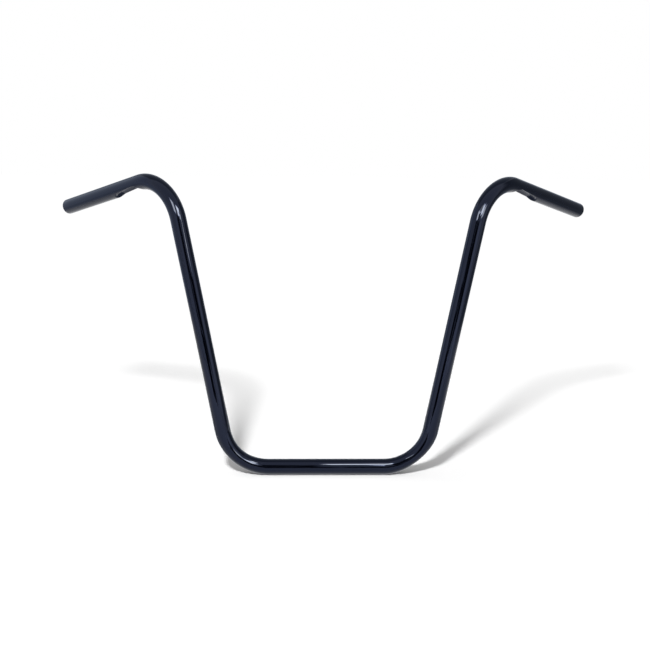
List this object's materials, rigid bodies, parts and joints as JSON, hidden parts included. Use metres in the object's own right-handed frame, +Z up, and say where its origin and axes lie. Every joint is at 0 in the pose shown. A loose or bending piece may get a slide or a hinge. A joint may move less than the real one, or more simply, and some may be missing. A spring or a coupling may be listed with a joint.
{
  "type": "ape hanger handlebar",
  "caption": "High-rise motorbike handlebar bent from one round tube, with a centre clamp section, leaning uprights, swept-back grips and a pressed wiring trough under each grip.",
  "frame": {"origin": "middle of the clamp section, on the tube's axis", "axes": "+X along the clamp section, +Z up the plane of the two uprights, +Y towards the rear, where the grips sweep; the bike's front is -Y"},
  "size_m": [0.9088, 0.2019, 0.4826],
  "materials": {
    "gloss_black_coat": "gloss black paint with a faint blue cast"
  },
  "bodies": {
    "root": {"handlebar": "gloss_black_coat"}
  },
  "joints": []
}
